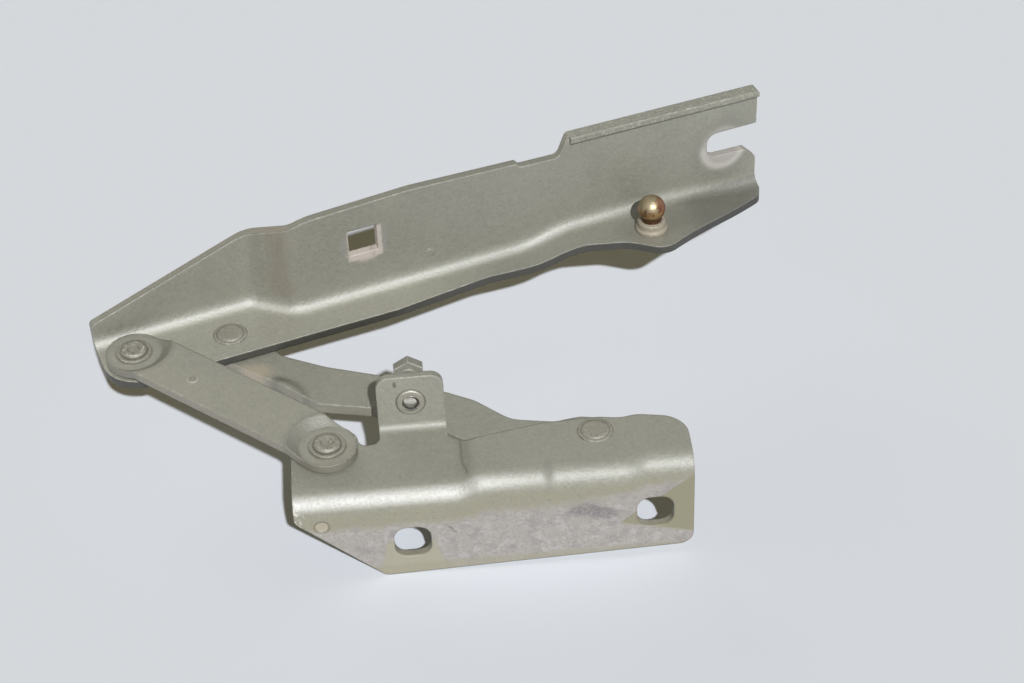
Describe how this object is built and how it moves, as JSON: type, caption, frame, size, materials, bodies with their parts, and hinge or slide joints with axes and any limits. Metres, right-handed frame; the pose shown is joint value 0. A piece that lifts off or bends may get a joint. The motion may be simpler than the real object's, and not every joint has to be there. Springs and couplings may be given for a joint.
{
  "type": "car bonnet hinge",
  "caption": "Folded-sheet bonnet hinge: a body bracket with fixing holes and a stop tab carries a bonnet arm with a strut ball on riveted links.",
  "frame": {"origin": "on the bracket's fixing face, midway between the centres of its two fixing holes", "axes": "-Y out of the fixing face, +X along the bracket towards the ball stud's end of the arm, +Z along the pivots towards the dimpled rivet heads"},
  "size_m": [0.2476, 0.1584, 0.0794],
  "materials": {
    "coat": "satin grey-olive primer coat over steel sheet, worn at edges and fixing faces",
    "steel": "dull bare steel",
    "ball": "tarnished brass-coloured plating"
  },
  "bodies": {
    "bracket": {"body_bracket": "coat", "front_body_rivet": "coat", "rear_body_rivet": "coat", "front_body_liner": "steel", "rear_body_liner": "steel", "stop_bush": "steel", "stop_screw": "coat"},
    "front_link": {"front_link": "coat", "front_body_washer": "coat", "front_arm_washer": "coat"},
    "arm": {"bonnet_arm": "coat", "front_arm_rivet": "coat", "rear_arm_rivet": "coat", "front_arm_liner": "steel", "rear_arm_liner": "steel", "rear_arm_washer": "coat", "ball_stud": "ball"},
    "rear_link": {"rear_link": "coat", "rear_body_washer": "coat"}
  },
  "joints": [
    {"name": "front_link_pivot", "type": "hinge", "parent": "bracket", "child": "front_link", "pos_m": [-0.0662, 0.023, 0.01875], "axis": [0, 0, 1], "range_deg": [-31.5, 23.5]},
    {"name": "arm_pivot", "type": "hinge", "parent": "front_link", "child": "arm", "pos_m": [-0.13221, 0.07998, 0.01875], "axis": [0, 0, 1], "range_deg": [-39.5, 52.8]},
    {"name": "rear_link_pivot", "type": "hinge", "parent": "bracket", "child": "rear_link", "pos_m": [0.0228, 0.0207, 0.01875], "axis": [0, 0, 1], "range_deg": [-22.2, 16.6]}
  ],
  "couplings": [
    {"joint": "arm_pivot", "follows": "front_link_pivot", "ratio": -1.6585},
    {"joint": "rear_link_pivot", "follows": "front_link_pivot", "ratio": 0.6966}
  ]
}
